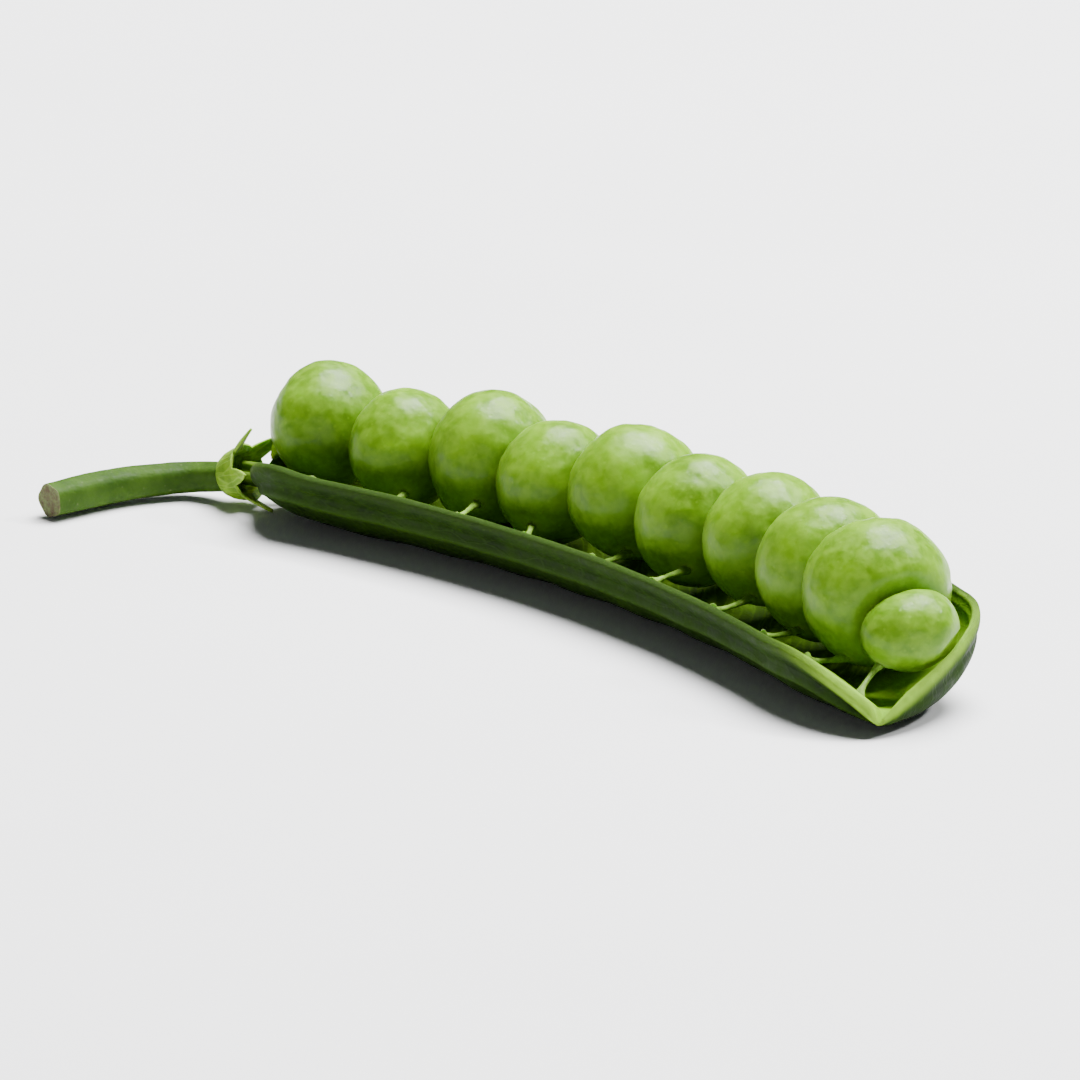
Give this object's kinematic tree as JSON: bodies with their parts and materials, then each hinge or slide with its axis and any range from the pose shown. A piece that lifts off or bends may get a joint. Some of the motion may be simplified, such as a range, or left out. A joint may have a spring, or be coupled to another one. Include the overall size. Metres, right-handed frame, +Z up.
{
  "type": "opened pea pod",
  "caption": "Half of a fresh garden pea pod lying open on its back like a small boat, still holding its row of green peas, with calyx and stalk at one end.",
  "frame": {"origin": "on the table under the middle of the object's bounding box", "axes": "+X along the pod from the stalk to the beak, +Y towards the seam that bears no seeds, +Z up out of the open side"},
  "size_m": [0.0848, 0.0304, 0.0134],
  "materials": {
    "pod_valve": "fresh green pod wall, satin with a faint waxy bloom; lime inside, pale at the split edges",
    "pea": "fresh pea skin, bright yellow-green, satin with a broad soft shine",
    "seed_stalk": "moist pale green thread",
    "calyx": "thin matt green leaf tissue with pale edges",
    "stalk": "matt fibrous green stem"
  },
  "bodies": {
    "root": {"pod_valve": "pod_valve", "pea_01": "pea", "pea_02": "pea", "pea_03": "pea", "pea_04": "pea", "pea_05": "pea", "pea_06": "pea", "pea_07": "pea", "pea_08": "pea", "pea_09": "pea", "pea_10": "pea", "seed_stalk_01": "seed_stalk", "seed_stalk_02": "seed_stalk", "seed_stalk_03": "seed_stalk", "seed_stalk_04": "seed_stalk", "seed_stalk_05": "seed_stalk", "seed_stalk_06": "seed_stalk", "seed_stalk_07": "seed_stalk", "seed_stalk_08": "seed_stalk", "seed_stalk_09": "seed_stalk", "seed_stalk_10": "seed_stalk", "calyx": "calyx", "stalk": "stalk"}
  },
  "joints": []
}
